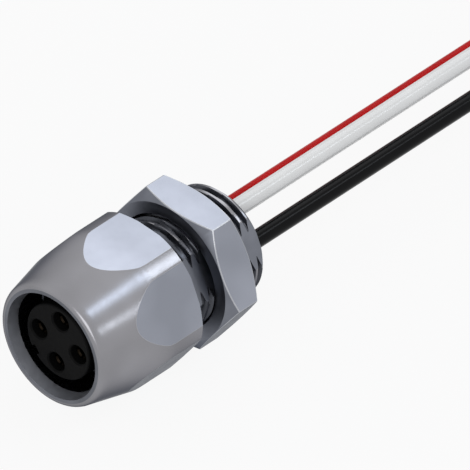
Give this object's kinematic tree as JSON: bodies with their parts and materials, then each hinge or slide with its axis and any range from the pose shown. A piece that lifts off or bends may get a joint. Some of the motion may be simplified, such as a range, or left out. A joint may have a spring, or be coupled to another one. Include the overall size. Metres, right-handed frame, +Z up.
{
  "type": "circular panel receptacle with flying leads",
  "caption": "Round screw-lock panel receptacle: hexagonal metal body with a tapered mouth, black socket insert, threaded tail, panel nut and loose insulated leads.",
  "frame": {"origin": "on the resting surface, under the middle of the metal body's length and width", "axes": "+X along the connector's axis from the mouth towards the leads; +Z up, square to the flat that the body lies on; +Y to the left when looking along +X"},
  "size_m": [0.1319, 0.0199, 0.0152],
  "materials": {
    "plated_shell": "satin nickel plating on turned brass",
    "plated_nut": "satin nickel plating on turned brass",
    "carrier_plastic": "black moulded plastic, slightly glossy",
    "contact_plating": "thin gold plating on brass",
    "potting_resin": "black casting resin with a soft sheen",
    "seal_rubber": "black matt rubber",
    "white_insulation": "white soft plastic insulation",
    "black_insulation": "black soft plastic insulation",
    "red_insulation": "red soft plastic insulation",
    "tinned_strands": "tinned copper strands",
    "tie_plastic": "dark plastic-coated twist tie"
  },
  "bodies": {
    "receptacle": {"shell": "plated_shell", "contact_carrier": "carrier_plastic", "contact_retainer": "carrier_plastic", "contact_1": "contact_plating", "contact_2": "contact_plating", "contact_3": "contact_plating", "contact_4": "contact_plating", "potting": "potting_resin", "mating_seal": "seal_rubber", "panel_seal": "seal_rubber", "lead_white": "white_insulation", "tail_white": "white_insulation", "lead_black": "black_insulation", "tail_black": "black_insulation", "lead_red": "red_insulation", "tail_red": "red_insulation", "strand_white": "tinned_strands", "strand_black": "tinned_strands", "strand_red": "tinned_strands", "tip_white": "tinned_strands", "tip_black": "tinned_strands", "tip_red": "tinned_strands", "lead_coil": "black_insulation", "coil_tie": "tie_plastic"},
    "nut": {"panel_nut": "plated_nut"}
  },
  "joints": [
    {"name": "panel_nut_slide", "type": "slide", "parent": "receptacle", "child": "nut", "axis": [1, 0, 0], "range_m": [-0.0033, 0.0035]}
  ]
}
